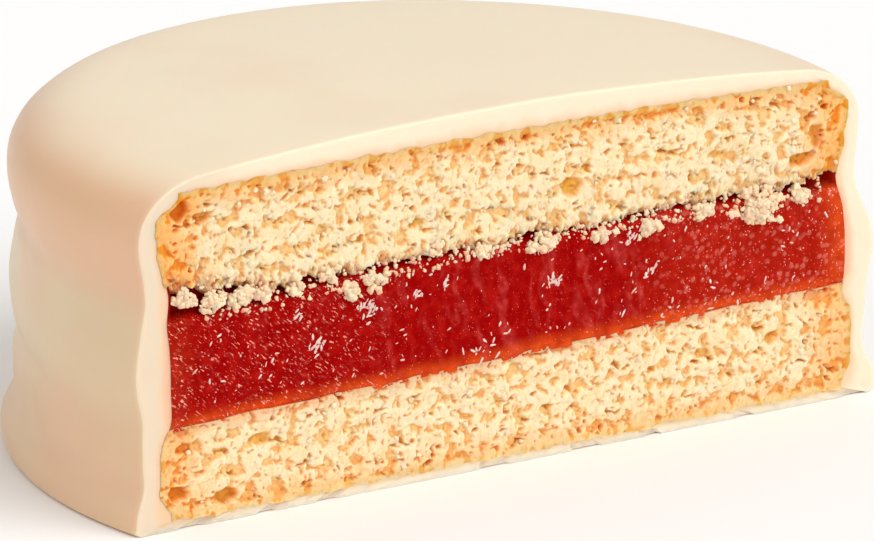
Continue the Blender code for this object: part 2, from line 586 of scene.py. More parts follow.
class BISCUIT_PG_sponge(bpy.types.PropertyGroup):
    """Sizes and colours of the biscuit layers."""

    spacing: length_property("Spacing", "Distance between the face's points", 0.076 * MM)
    lump: length_property("Lump", "Width of the larger lumps", 1.25 * MM)
    lump_depth: length_property("Lump depth", "Height of the larger lumps", 0.24 * MM)
    grain: length_property("Grain", "Width of the small grains", 0.62 * MM)
    grain_depth: length_property("Grain depth", "Height of the small grains", 0.20 * MM)
    pore_depth: length_property("Pore depth", "Depth of the open pores", 0.45 * MM)
    colour: colour_property("Crumb", "Pale crumb", (0.985, 0.775, 0.515))
    golden: colour_property("Golden crumb", "Denser crumb", (0.97, 0.665, 0.36))
    # Valley and hollow colours: painted shade between the crumb's lumps and inside its pores.
    valley_shade: colour_property("Valley", "Between the lumps", (0.94, 0.575, 0.23))
    hollow: colour_property("Hollow", "Inside the pores", (0.82, 0.42, 0.07))
    crust: colour_property("Crust", "Browned outside", (0.985, 0.49, 0.17))
    # Crust valley and crust hollow: the same painted shade on the browned crust.
    crust_valley_shade: colour_property("Crust valley", "Between the crust's lumps", (0.94, 0.33, 0.03))
    crust_hollow_shade: colour_property("Crust hollow", "Pores of the crust", (0.74, 0.15, 0.0))
    # Soaked: jam soaked into the crumb; along the upper biscuit's ragged lower edge it also stands for
    # painted red light bounced from the jam into the shade there.
    soaked: colour_property("Soaked", "Where jam has soaked in", (0.88, 0.33, 0.13))


class BISCUIT_PG_jam(bpy.types.PropertyGroup):
    """Sizes and colours of the jam."""

    spacing: length_property("Spacing", "Distance between the face's points", 0.080 * MM)
    wave: length_property("Wave", "Height of the smeared waves", 0.08 * MM)
    recess: length_property("Recess", "How far its top edge draws back", 1.1 * MM)
    colour: colour_property("Colour", "Deep jam", (0.31, 0.0, 0.0))
    plain: colour_property("Plain", "Jam between deep and hazy", (0.43, 0.006, 0.003))
    # Haze is painted sheen: a paler pink reflection over the smeared jam.
    haze: colour_property("Haze", "Smeared, paler jam", (0.52, 0.040, 0.033))
    thin: colour_property("Thin", "Thin jam along the edges", (0.76, 0.085, 0.010))
    # Specks are painted glints of the wet jam's streaks and grains.
    speck: colour_property("Specks", "Sugary specks", (0.99, 0.36, 0.27))
    # Under the biscuit: darker red, painted shade in the recess under the biscuit's edge.
    deep: colour_property("Under the biscuit", "Jam in the gap", (0.24, 0.0, 0.0))


class BISCUIT_PG_crumbs(bpy.types.PropertyGroup):
    """Amounts and colours of the loose crumbs and sugar."""

    seam_count: IntProperty(name="Seam crumbs", description="Crumbs along the seam", default=480)
    face_count: IntProperty(name="Face crumbs", description="Crumbs on the sponge", default=130)
    sugar_count: IntProperty(name="Sugar bits", description="Bits on the jam", default=150)
    colour: colour_property("Crumb", "Pale crumb", (0.99, 0.80, 0.53))
    stained: colour_property("Stained", "Crumb wet with jam", (0.92, 0.32, 0.20))
    sugar: colour_property("Sugar", "White sugar", (0.99, 0.72, 0.64))


class BISCUIT_PG_stage(bpy.types.PropertyGroup):
    """The camera, the lights and the floor."""

    azimuth: FloatProperty(name="Azimuth", description="Camera turn in degrees", default=-36.34)
    elevation: FloatProperty(name="Elevation", description="Camera height in degrees", default=16.87)
    roll: FloatProperty(name="Roll", description="Camera roll in degrees", default=1.60)
    distance: length_property("Distance", "Camera distance", 0.6576)
    lens: FloatProperty(name="Lens", description="Focal length in millimetres", default=373.3)
    aim_right: length_property("Aim right", "Aim moved along the picture", 3.68 * MM)
    aim_up: length_property("Aim up", "Aim moved up the picture", -2.64 * MM)
    key: FloatProperty(name="Key light", description="Strength of the front sun", default=1.65)
    fill: FloatProperty(name="Fill light", description="Strength of the left sun", default=0.35)
    sky: FloatProperty(name="Sky", description="Strength of the surroundings", default=0.60)


SETTINGS = {
    "biscuit_coating": BISCUIT_PG_coating,
    "biscuit_sponge": BISCUIT_PG_sponge,
    "biscuit_jam": BISCUIT_PG_jam,
    "biscuit_crumbs": BISCUIT_PG_crumbs,
    "biscuit_stage": BISCUIT_PG_stage,
}


# ---------------------------------------------------------------- coating


def wall_levels():
    """(kind, value) of each ring of the wall and shoulder, from the base up."""
    levels = [("foot", turn) for turn in np.linspace(0.0, 1.0, 5)[:-1]]
    levels += [("wall", height) for height in np.linspace(BASE_EDGE_ROUND, WALL[-1][0], 46)]
    levels += [("shoulder", turn) for turn in np.linspace(0.0, 1.0, 19)[1:]]
    return levels


def level_point(kind, value, angle, dent):
    """Radius and height of a ring at an angle."""
    if kind == "foot":
        turn = value * math.pi / 2
        radius = WALL[0][1] - BASE_EDGE_ROUND * (1 - math.sin(turn))
        height = BASE_EDGE_ROUND * (1 - math.cos(turn)) + 0 * angle
        return radius + 0 * angle, height
    if kind == "wall":
        height = value + 0 * angle
        radius = eased_radius(height, WALL) + unevenness(angle, height) + dents(angle, height, dent)
        return radius - creases_round(angle, height), height
    wall = WALL[-1][1]
    reach = shoulder_reach(angle)
    turn = value * math.pi / 2
    radius = wall - reach + reach * math.cos(turn)
    height = top_height(radius, angle)
    swell = unevenness(angle, WALL[-1][0]) + dents(angle, WALL[-1][0] + 0 * angle, dent)
    return radius + swell * math.cos(turn), height


# Creases round the left and the back, and the filled groove, as (height, depth, spread)
UPPER_CREASE = (17.0 * MM, 0.40 * MM, 0.7 * MM)
LOWER_CREASE = (8.5 * MM, 0.38 * MM, 0.8 * MM)
GROOVE_FILL = (4.6 * MM, 0.40 * MM, 1.8 * MM)


def hump(height, middle, depth, spread):
    """A rounded hump over the height, as deep as depth at its middle."""
    return depth * np.exp(-(((height - middle) / spread) ** 2))


def creases_round(angle, height):
    """Two creases run round the left and the back, where the layers end.

    They fade out towards the cut, and the groove over the foot fills up there.
    """
    upper = hump(height, *UPPER_CREASE)
    lower = hump(height, *LOWER_CREASE)
    filled = hump(height, *GROOVE_FILL)
    to_cut = ramp(angle, math.radians(150), math.radians(187))
    around = ramp(angle, math.radians(70), math.radians(120)) * (1 - 0.85 * to_cut)
    return (upper + lower) * around - filled * to_cut


def dents(angle, height, depth):
    """Soft slanting dents in the coating's side."""
    along = angle * WALL[0][1]
    slanted = along + 1.6 * height
    from_base = ramp(height, BASE_EDGE_ROUND, 3 * MM)
    return depth * from_base * layered_noise(slanted, 1.4 * height, 9 * MM, 41, 2)


def top_dents(x, y):
    """Very shallow unevenness of the top."""
    return 0.05 * MM * layered_noise(x + 0.4 * y, y, 11 * MM, 57, 2)


def coating_object(options):
    """The coating: outer wall and top, cut section, base and the room inside."""
    levels = wall_levels()
    columns = 261
    top_rows = 36
    cut = CUT_BEFORE_AXIS - options.edge_round
    points = []

    # Wall and shoulder, each ring running from the right end of the cut to the left
    share = np.linspace(0, 1, columns)
    for kind, value in levels:
        right = np.array(-0.18)
        left = np.array(math.pi + 0.18)
        for _ in range(4):
            right = -np.arcsin(cut / level_point(kind, value, right, options.dent_depth)[0])
            left = math.pi + np.arcsin(cut / level_point(kind, value, left, options.dent_depth)[0])
        angle = right + (left - right) * share
        radius, height = level_point(kind, value, angle, options.dent_depth)
        x = layer_shift(height) + radius * np.cos(angle)
        y = AXIS_Y + radius * np.sin(angle)
        points.append(np.stack([x, y, height], axis=-1))
    wall = np.stack(points, axis=1)
    rows = len(levels)
    rim = wall[:, -1]

    # The top, from the shoulder's ring forward to the cut
    spread = (1 - np.cos(np.pi * share)) / 2
    cut_x = rim[0, 0] + (rim[-1, 0] - rim[0, 0]) * spread
    forward = np.linspace(0, 1, top_rows + 1)[1:]
    top = np.zeros((columns, top_rows, 3))
    for row, part in enumerate(forward):
        x = rim[:, 0] * (1 - part) + cut_x * part
        y = rim[:, 1] * (1 - part) + (AXIS_Y - cut) * part
        middle = layer_shift(np.full(columns, HEIGHT))
        radius = np.hypot(x - middle, y - AXIS_Y)
        angle = np.arctan2(y - AXIS_Y, x - middle)
        height = top_height(radius, angle) + top_dents(x, y) * ramp(-radius, -27 * MM, -22 * MM)
        top[:, row] = np.stack([x, y, height], axis=-1)

    wall_number = np.arange(columns * rows).reshape(columns, rows)
    top_start = columns * rows
    top_number = top_start + np.arange(columns * top_rows).reshape(columns, top_rows)
    faces = grid_faces(columns, rows).tolist()
    joined = np.concatenate([wall_number[:, -1:], top_number], axis=1)
    for row in range(top_rows):
        quads = np.stack(
            [joined[:-1, row], joined[1:, row], joined[1:, row + 1], joined[:-1, row + 1]], axis=-1
        )
        faces += quads.tolist()
    points = [wall.reshape(-1, 3), top.reshape(-1, 3)]
    total = top_start + columns * top_rows

    # The front edge of the base, from the left end to the right
    base_columns = 180
    base_share = np.linspace(0, 1, base_columns + 1)[1:-1]
    left_foot = wall[-1, 0]
    right_foot = wall[0, 0]
    base_x = left_foot[0] + (right_foot[0] - left_foot[0]) * base_share
    base_back = chips(base_x, options.chip_depth)
    base = np.stack([base_x, CUT_Y + base_back, 0.2 * base_back], axis=-1)
    base_number = np.arange(total, total + len(base))
    points.append(base)
    total += len(base)
    faces.append(np.concatenate([wall_number[::-1, 0], base_number[::-1]]).tolist())

    # The cut section: out of the rounded edge, across the band, into the room
    loop = np.concatenate(
        [wall_number[0], top_number[1:-1, -1], wall_number[-1, ::-1], base_number]
    )
    everything = np.concatenate(points)
    outer = everything[loop]
    side, height = inner_loop(outer, rows, columns - 2)
    inner = in_room(side, height, np.zeros(len(side)))
    broken = np.concatenate([np.zeros(len(loop) - len(base)), base_back])
    at_base = np.concatenate([np.zeros(len(loop) - len(base)), np.ones(len(base))])
    rings = [loop]
    extra = []
    across = inner - outer
    across[:, 1] = 0
    width = np.linalg.norm(across, axis=1, keepdims=True)
    inward = across / width
    edge = options.edge_round * (1 + 0.5 * noise(np.arange(len(loop)) * 1.0, outer[:, 2], 9.0, 79))
    edge[len(loop) - len(base) :] = 0.06 * MM
    edge = np.minimum(edge[:, None], 0.4 * width)
    for turn in np.linspace(0, math.pi / 2, 6)[1:]:
        ring = outer + inward * edge * (1 - math.cos(turn))
        ring[:, 1] = CUT_Y + options.edge_round * (1 - math.sin(turn)) * (1 - at_base) + broken
        extra.append((ring, 0.0))
    for part in np.linspace(0, 1, 11)[1:]:
        ring = outer + inward * (edge + (width - edge) * part)
        ripple = band_ripple(ring[:, 0], ring[:, 2])
        ring[:, 1] = CUT_Y + ripple * smooth(np.array(1.6 * (1 - part))) + broken * (1 - 0.2 * part)
        extra.append((ring, part))
    inner_share = np.zeros(total)
    for ring, part in extra:
        rings.append(np.arange(total, total + len(ring)))
        points.append(ring)
        inner_share = np.concatenate([inner_share, np.full(len(ring), part)])
        total += len(ring)
    for back in np.linspace(0, 1, 15)[1:]:
        ring = in_room(side, height, np.full(len(side), back))
        rings.append(np.arange(total, total + len(ring)))
        points.append(ring)
        total += len(ring)
    for near, far in zip(rings, rings[1:]):
        faces += bridge_faces(near, far).tolist()
    faces.append(rings[-1].tolist())
    points = np.concatenate(points)
    inner_share = np.concatenate([inner_share, np.zeros(len(points) - len(inner_share))])

    # The steep outer side and its thicker part between the layers, which take painted shade, its left
    # end, where the cut section takes painted shade, the cut section, and that next to the jam
    lower = ramp(-points[:, 2], -WALL[-1][0] - 5.0 * MM, -WALL[-1][0] - 2.2 * MM)
    shaded_side_share = lower * ramp(points[:, 1] - CUT_Y, 0.02 * MM, 0.3 * MM)
    between = ramp(-points[:, 2], -18.5 * MM, -15.0 * MM)
    between = between * (0.45 + 0.55 * ramp(points[:, 2], 5.5 * MM, 11.0 * MM))
    section = np.zeros(len(points))
    for ring in rings[3 : len(extra) + 1]:
        section[ring] = 1.0
    over = ramp(points[:, 2] - jam_floor(points[:, 0]), -0.6 * MM, 0.6 * MM)
    under = ramp(jam_roof(points[:, 0]) - points[:, 2], -0.6 * MM, 0.6 * MM)
    values = {
        "side": shaded_side_share,
        "thick": between,
        "left": ramp(-points[:, 0], 22 * MM, 29 * MM),
        "section": section,
        "inner": inner_share,
        "by_jam": inner_share * over * under,
    }
    piece = new_object("white_coating", points, faces, values)
    piece.data.set_sharp_from_angle(angle=math.radians(50))
    return piece


def inner_loop(outer, rows, top_columns):
    """Side and height in the room that match each point of the outer loop."""
    heights = np.linspace(ROOM_FLOOR, ROOM_ROOF, 200)
    radius = eased_radius(heights, ROOM)
    length = np.concatenate([[0], np.cumsum(np.hypot(np.diff(heights), np.diff(radius)))])

    def wall_side(points):
        """Heights up the room's wall at the same share of the way up."""
        steps = np.linalg.norm(np.diff(points, axis=0), axis=1)
        share = np.concatenate([[0], np.cumsum(steps)])
        return np.interp(share / share[-1] * length[-1], length, heights)

    right = wall_side(outer[:rows])
    left = wall_side(outer[rows + top_columns : 2 * rows + top_columns][::-1])[::-1]
    top = outer[rows : rows + top_columns, 0]
    middle = (outer[rows - 1, 0] + outer[rows + top_columns, 0]) / 2
    reach = (outer[rows - 1, 0] - outer[rows + top_columns, 0]) / 2
    top_side = (top - middle) / reach
    base = outer[2 * rows + top_columns :, 0]
    base_side = (base - outer[0, 0]) / (outer[0, 0] - outer[2 * rows + top_columns - 1, 0]) * 2 + 1
    side = np.concatenate([np.ones(rows), top_side, -np.ones(rows), base_side])
    height = np.concatenate(
        [right, room_roof(top_side * HALF_WIDTH), left, np.full(len(base), ROOM_FLOOR)]
    )
    return side, height


def chips(across, depth):
    """How far the base's front edge is broken back."""
    rough = layered_noise(across, 0 * across, 5.0 * MM, 71, 2)
    fine = np.abs(noise(across, 0 * across, 0.9 * MM, 75))
    return depth * (ramp(rough, 0.12, 0.20) * 0.8 + 0.3 * fine)


def band_ripple(across, up):
    """Small waves of the cut section, crumbled near the base."""
    ripple = 0.08 * MM * layered_noise(across, up, 2.6 * MM, 81, 3)
    low = ramp(-up, -1.3 * MM, -0.7 * MM)
    broken = low * 0.16 * MM * (1 - billows(across, up, 1.0 * MM, 87, 3))
    return ripple + broken


def coating_material(options):
    """Satin white coating, darker and warmer down its side with painted shade, pinker next to what it
    covers.
    """
    shader = Shader("white_coating")
    warm = shader.span(shader.noise(16 * MM, 2.0), 0.46, 0.66)
    cool = shader.span(shader.noise(11 * MM, 2.0), 0.45, 0.62)
    # Painted shade: the steep side takes the darker side colours.
    side = shader.value("side")
    thick = (shader.value("thick") * (0.75 + 0.35 * cool)).limited()
    colour = shader.mix(side, options.colour, shader.mix(thick, options.side, options.thick))
    colour = shader.mix(warm * (0.15 + 0.3 * side), colour, options.warm)
    # Painted shade towards the cut section's left end.
    section = shader.mix(shader.value("left"), options.section, options.shaded_section_left)
    colour = shader.mix(shader.value("section"), colour, section)
    fringe = shader.span(shader.value("inner") + shader.noise(1.5 * MM, 3.0) * 0.6, 0.70, 1.30)
    colour = shader.mix(fringe * 0.85, colour, options.fringe)
    by_jam = shader.span(shader.value("by_jam"), 0.6, 1.0)
    colour = shader.mix(by_jam * 0.6, colour, options.jam_fringe)
    return shader.finish(
        {
            "Base Color": colour,
            "Roughness": shader.noise(3 * MM, 3.0) * 0.16 + (options.roughness - 0.08),
            "Subsurface Weight": 0.6,
            "Subsurface Radius": (1.0, 0.78, 0.55),
            "Subsurface Scale": 0.7 * MM,
            "IOR": 1.45,
            "Specular IOR Level": 0.4,
            "Normal": shader.bump(shader.noise(2.2 * MM, 3.0), 0.03 * MM),
        }
    )


# ---------------------------------------------------------------- sponge

# Larger pores: (layer, x, height, half width, half height, depth)
PORES = (
    ("upper", 4.5, 20.0, 1.0, 0.75, 1.0),
    ("upper", -9.0, 19.3, 0.9, 0.4, 0.8),
    ("upper", -29.3, 23.3, 0.7, 0.8, 1.5),
    ("upper", -27.4, 22.6, 0.8, 0.5, 0.9),
    ("upper", 17.5, 20.4, 0.8, 0.35, 0.7),
    ("upper", 26.6, 20.6, 0.6, 1.0, 0.9),
    ("upper", 25.2, 19.0, 1.2, 0.5, 1.0),
    ("lower", -22.0, 5.5, 1.1, 0.5, 0.9),
    ("lower", 17.0, 5.5, 0.8, 0.4, 0.8),
    ("lower", 23.3, 5.7, 0.7, 0.5, 0.9),
    ("lower", -29.0, 2.7, 0.9, 0.5, 1.4),
    ("lower", -25.0, 1.9, 1.1, 0.6, 1.5),
    ("lower", -28.6, 5.9, 0.9, 0.4, 0.9),
)


def ragged_seam(across):
    """The broken lower edge of the upper biscuit's cut face, a row of hanging lumps."""
    ends = (np.abs(across) / HALF_WIDTH) ** 4 * (0.7 - 0.5 * np.sign(across))
    rough = layered_noise(across, 0 * across, 4.5 * MM, 101, 2)
    hanging = billows(across, 0.3 * across, 1.7 * MM, 105, 4)
    return jam_roof(across) + (1.0 + 1.2 * ends + 0.8 * rough - 1.15 * hanging) * MM


def soft_seam(across):
    """The seam between the jam and the lower biscuit at the cut."""
    return jam_floor(across) + 0.16 * MM * layered_noise(across, 0 * across, 5 * MM, 117, 3)


SPONGE_SEAMS = {
    "upper": (
        (ragged_seam, lambda across: room_roof(across) + 0.1 * MM),
        (lambda across: jam_roof(across) + SEAM_GAP, room_roof),
    ),
    "lower": (
        (lambda across: ROOM_FLOOR - 0.1 * MM + 0 * across, soft_seam),
        (lambda across: ROOM_FLOOR + 0 * across, lambda across: jam_floor(across) - SEAM_GAP),
    ),
}


def sponge_relief(layer, options):
    """The function that roughens one biscuit layer's cut face."""
    seed = {"upper": 200, "lower": 300}[layer]

    def relief(face, side, part):
        x = face[..., 0]
        z = face[..., 2]
        wander_x = x + 0.28 * MM * layered_noise(x, z, 1.3 * MM, seed, 3)
        wander_z = z + 0.25 * MM * layered_noise(x, z, 1.3 * MM, seed + 5, 3)
        field = layered_noise(wander_x, 1.15 * wander_z, options.lump, seed + 10, 4)
        plateau = ramp(field, -0.32, -0.02)
        near, own = crumbs_of(wander_x, wander_z, options.grain, seed + 20)
        height = options.lump_depth * plateau
        height += options.grain_depth * (1 - near**2) * (0.4 + 0.6 * own)
        near, own = crumbs_of(wander_x, wander_z, options.grain / 2, seed + 25)
        height += options.grain_depth / 2.2 * (1 - near**2) * (0.3 + 0.7 * own)
        height += 0.22 * MM * layered_noise(x, z, 4.5 * MM, seed + 40, 2)
        open_pore = layered_noise(wander_x * 0.75, wander_z * 1.1, 1.0 * MM, seed + 50, 3)
        pore = ramp(open_pore, 0.40, 0.60)
        pinhole = ramp(noise(x, z, 0.42 * MM, seed + 60), 0.55, 0.72)
        for where, px, pz, half_x, half_z, depth in PORES:
            if where != layer:
                continue
            reach = np.hypot((wander_x / MM - px) / half_x, (wander_z / MM - pz) / half_z)
            pore = np.maximum(pore, depth * ramp(-reach, -1.2, -0.55))
        height -= options.pore_depth * pore + 0.18 * MM * pinhole
        height -= np.median(height)
        # These masks say how sunk each point is, in pores, in fine crevices and between the lumps;
        # they place painted shade in the colour.
        hollow = np.maximum(0.8 * sunk(height, 12, 0.50 * MM), np.clip(pore, 0, 1.0))
        crack = sunk(height, 3, 0.10 * MM)
        low = np.maximum(1 - blurred(plateau, 1), 0.8 * sunk(height, 6, 0.2 * MM))

        # The upper face rounds off at its free edge, and each face meets the coating flush
        free = (z - ragged_seam(x)) if layer == "upper" else (soft_seam(x) - z)
        height -= 0.35 * MM * ramp(-free, -0.45 * MM, 0.05 * MM) * (layer == "upper")
        skinward = (room_roof(x) - z) if layer == "upper" else (z - ROOM_FLOOR)
        edge = np.maximum(ramp(np.abs(side), 0.975, 0.992), ramp(-skinward, -0.4 * MM, -0.1 * MM))
        flush = 0.07 * MM + 0.05 * MM * noise(x, z, 0.5 * MM, seed + 65)
        height = height * (1 - edge) + flush * edge
        spill = ramp(np.abs(side), 0.975, 1.0) * np.sign(side)
        skin = ramp(part, 0.95, 1.0) if layer == "upper" else -ramp(-part, -0.05, 0.0)
        moved = np.zeros_like(face)
        moved[..., 1] = -height
        moved[..., 0] = 0.22 * MM * spill * (0.4 + layered_noise(x, z, 1.3 * MM, seed + 70, 2))
        moved[..., 2] = 0.22 * MM * skin * (0.4 + layered_noise(x, z, 1.3 * MM, seed + 72, 2))
        crust, soaked = sponge_zones(layer, x, z, seed)
        values = {
            "hollow": hollow, "crack": crack, "low": low, "crust": crust, "soaked": soaked
        }
        return moved, values

    return relief


def sponge_zones(layer, x, z, seed):
    """Shares of browned crust and of jam soaked in, over a cut face; on the upper face the soaked
    share also carries painted red bounce light from the jam.
    """
    wander = layered_noise(x, z, 2.0 * MM, seed + 80, 3)
    radius = np.hypot(x - layer_shift(z), CUT_BEFORE_AXIS)
    from_wall = eased_radius(z, ROOM) - radius
    wander = 1.3 * wander * MM
    crust = ramp(-from_wall, -5.2 * MM + wander, -0.9 * MM + wander)
    if layer == "upper":
        from_skin = room_roof(x) - z
        # Here the soaked share is partly jam soaked in, partly painted red bounce light on the shaded
        # underside of the rim.
        soaked = ramp(-(z - ragged_seam(x)), -1.0 * MM + 0.5 * wander, 0.1 * MM) * 0.8
    else:
        from_skin = z - ROOM_FLOOR
        soaked = ramp(-(soft_seam(x) - z), -1.1 * MM + 0.6 * wander, 0.1 * MM)
    skin = ramp(-from_skin, -1.9 * MM + wander, -0.2 * MM)
    browned = {"upper": 1.0, "lower": 0.75}[layer]
    return browned * np.clip(np.maximum(crust, 0.8 * skin), 0, 1), soaked


def sponge_material(name, options):
    """Pale crumb with painted golden shade between its lumps and in its hollows, and orange at the
    crust.
    """
    shader = Shader(name)
    crust = shader.value("crust")
    hollow = shader.value("hollow")
    crack = shader.value("crack")
    low = shader.value("low")
    patch = shader.span(shader.noise(1.8 * MM, 3.0), 0.42, 0.66)
    fleck = shader.span(shader.noise(0.35 * MM, 2.0), 0.5, 0.75)
    colour = shader.mix(patch * 0.6, options.colour, options.golden)
    colour = shader.mix(fleck * 0.3, colour, options.golden)
    # Painted shade: golden between the lumps and in the crevices, deeper golden in the pores.
    colour = shader.mix((low * 0.75 + crack * 0.5).limited(), colour, options.valley_shade)
    colour = shader.mix(hollow, colour, options.hollow)
    # Painted shade between the crust's lumps and in its pores, with random speckle.
    shade_and_speckle = (low + crack * 0.4 + patch * 0.12 + fleck * 0.2).limited()
    crusted = shader.mix(shade_and_speckle, options.crust, options.crust_valley_shade)
    crusted = shader.mix(hollow, crusted, options.crust_hollow_shade)
    colour = shader.mix(crust, colour, crusted)
    # Soaked colour, stronger in the hollows: jam soaked in, and painted red bounce light in the upper
    # rim's shade.
    wet = shader.value("soaked") * (0.55 + 0.6 * low + 0.3 * crack)
    colour = shader.mix(wet.limited(), colour, options.soaked)
    return shader.finish(
        {
            "Base Color": colour,
            "Roughness": 0.8,
            "Subsurface Weight": 0.85,
            "Subsurface Radius": (1.0, 0.65, 0.3),
            "Subsurface Scale": 1.2 * MM,
            "Specular IOR Level": 0.15,
            "Normal": shader.bump(shader.noise(0.16 * MM, 3.0, 0.6), 0.05 * MM),
        }
    )


# ---------------------------------------------------------------- jam


def jam_edge(across):
    """Top of the jam's standing face, before it draws back under the biscuit."""
    left = ramp(-across, 8 * MM, HALF_WIDTH)
    right = ramp(across, 14 * MM, HALF_WIDTH)
    rough = layered_noise(across, 0 * across, 3.0 * MM, 401, 3)
    return jam_roof(across) + (-0.05 - 0.75 * left - 0.55 * right + 0.4 * rough) * MM


def jam_relief(options):
    """The function that shapes the jam's cut face."""

    def relief(face, side, part):
        x = face[..., 0]
        z = face[..., 2]
        left = ramp(-x, 9 * MM, 15 * MM)
        right = ramp(x, 8 * MM, 16 * MM)
        middle = 1 - np.maximum(left, right)
        lean = math.radians(38)
        along = x * math.cos(lean) - z * math.sin(lean)
        crossing = x * math.sin(lean) + z * math.cos(lean)
        bend = 0.3 * MM * layered_noise(x, z, 2.5 * MM, 407, 2)
        streaks_and_glints = layered_noise((crossing + bend), along * 0.35, 0.30 * MM, 411, 2)
        smears = layered_noise(x + 0.25 * z + 2 * bend, z * 0.3, 1.3 * MM, 421, 3)
        near, own = crumbs_of(x, z * 1.1, 0.45 * MM, 431)
        grains = (1 - near**2) * own
        patches = ramp(layered_noise(x, z, 3.2 * MM, 455, 2), -0.35, 0.35)
        height = 0.25 * MM * layered_noise(x, z, 6 * MM, 441, 2)
        height += options.wave * middle * (smears + 0.5 * billows(x, z, 1.6 * MM, 425, 2))
        height += options.wave * left * patches * streaks_and_glints
        height += options.wave * right * (0.4 + 0.6 * patches) * grains
        above = ramp(z - jam_edge(x), -0.1 * MM, 0.6 * MM)
        height -= options.recess * above
        edge = ramp(np.abs(side), 0.98, 0.995)
        height = height * (1 - edge) + 0.04 * MM * edge
        low = (z - soft_seam(x)) / MM
        height -= 0.12 * MM * ramp(-low, -0.2, 0.0)
        dust = ramp(z - jam_edge(x), -1.3 * MM, -0.1 * MM) * ramp(
            layered_noise(x, z, 1.6 * MM, 457, 2), -0.1, 0.5
        )
        # Painted glints along the streaks at the left and on the grains at the right.
        glint_left = ramp(streaks_and_glints, 0.35, 0.65) * left * patches
        glint_right = ramp(grains, 0.60, 0.80) * right * (0.5 + 0.5 * patches)
        speck = np.clip(glint_left + glint_right, 0, 1) * (1 - above)
        ends = ramp(np.abs(side), 0.90, 1.0) * (0.15 + 0.65 * right)
        rim = np.maximum(ramp(-low, -1.3, 0.1), ends)
        thin = rim * (0.75 + 0.5 * layered_noise(x, z, 1.4 * MM, 461, 3))
        # Painted sheen over the smears, strongest in the middle.
        haze = (0.15 + 0.85 * middle) * ramp(smears, 0.0, 0.55)
        moved = np.zeros_like(face)
        moved[..., 1] = -height
        values = {
            "speck": speck,
            "thin": np.clip(thin, 0, 1),
            "haze": haze * (1 - above),
            "above": above,
            "left": left * (1 - above),
            "right": right * (1 - above),
            "dust": dust * (1 - above),
        }
        return moved, values

    return relief


def jam_material(options):
    """Deep red jam with painted sheen where it is smeared and painted glints at its ends."""
    shader = Shader("red_jam")
    above = shader.value("above")
    haze = shader.value("haze")
    speck = shader.value("speck")
    thin = shader.value("thin").limited()
    left = shader.value("left")
    right = shader.value("right")
    mottle = shader.span(shader.noise(0.9 * MM, 3.0, 0.6), 0.4, 0.7)
    fine = shader.node(
        "ShaderNodeMapping",
        {"vector_type": "TEXTURE"},
        {"Vector": shader.place(), "Rotation": (0.0, math.radians(38), 0.0), "Scale": (3.0, 1.0, 1.0)},
    )
    dust = shader.value("dust")
    strength = shader.span(shader.noise(0.7 * MM, 2.0), 0.35, 0.65)
    # Painted glints: fine streaks at the left and dots at the right, glossier by their coat.
    streaks_and_glints = shader.noise(0.15 * MM, 2.0, 0.5, fine)
    streaks_and_glints = shader.span(streaks_and_glints + left * 0.035, 0.64, 0.69) * (0.1 + 0.9 * left)
    streaks_and_glints = streaks_and_glints * (0.15 + 0.85 * strength)
    glint_dots = shader.cells(0.30 * MM, 0.35 * MM)
    glint_dots = shader.span(glint_dots - right * 0.10 - dust * 0.16 - thin * 0.06, 0.12, 0.08)
    glint_dots = glint_dots * (0.2 + 0.8 * strength)
    colour = shader.mix((mottle * 0.8 + right * 0.3).limited(), options.colour, options.plain)
    colour = shader.mix(right * 0.08, colour, options.thin)
    # Painted sheen of the smears.
    colour = shader.mix(haze * (0.25 + 0.75 * mottle), colour, options.haze)
    colour = shader.mix(thin, colour, options.thin)
    # Painted glints laid over the jam.
    colour = shader.mix(speck * (0.12 + 0.13 * right), colour, options.speck)
    colour = shader.mix(streaks_and_glints, colour, options.speck)
    colour = shader.mix(glint_dots * 0.9, colour, options.speck)
    # Painted shade in the recess under the biscuit.
    colour = shader.mix(above * 0.85, colour, options.deep)
    return shader.finish(
        {
            "Base Color": colour,
            "Roughness": shader.noise(0.8 * MM, 3.0) * 0.25 + 0.12 + above * 0.2,
            "Subsurface Weight": 0.15,
            "Subsurface Radius": (1.0, 0.08, 0.05),
            "Subsurface Scale": 0.5 * MM,
            "IOR": 1.40,
            "Specular IOR Level": 0.03,
            "Coat Weight": (glint_dots * 0.4 + streaks_and_glints * 0.4 + haze * 0.1).limited(),
            "Coat Roughness": 0.18,
            "Normal": shader.bump(glint_dots + streaks_and_glints + shader.noise(0.25 * MM, 2.0), 0.03 * MM),
        }
    )


# ---------------------------------------------------------------- crumbs


def ball(detail):
    """Points and faces of a round ball of triangles."""
    bpy.ops.mesh.primitive_ico_sphere_add(subdivisions=detail, radius=1.0)
    made = bpy.context.object
    points = np.array([vertex.co[:] for vertex in made.data.vertices])
    faces = np.array([polygon.vertices[:] for polygon in made.data.polygons])
    bpy.data.objects.remove(made, do_unlink=True)
    return points, faces


def lumpy(points, chance, depth):
    """The ball's points pushed in and out into a few rounded lumps."""
    lumps = chance.normal(size=(12, 3))
    lumps /= np.linalg.norm(lumps, axis=1, keepdims=True)
    reach = chance.uniform(0.7, 1.3, size=12)
    nearest = np.max(np.maximum(points @ lumps.T, 0) ** 5 * reach, axis=1)
    scale = 1 + depth * (nearest - 0.5)
    return points * scale[:, None]


def foremost(trees, x, z):
    """How far back the foremost surface lies at a place of the cut."""
    start = Vector((x, CUT_Y - 6 * MM, z))
    places = [tree.ray_cast(start, Vector((0.0, 1.0, 0.0)))[0] for tree in trees]
    depths = [place.y for place in places if place]
    return min(depths) if depths else CUT_Y


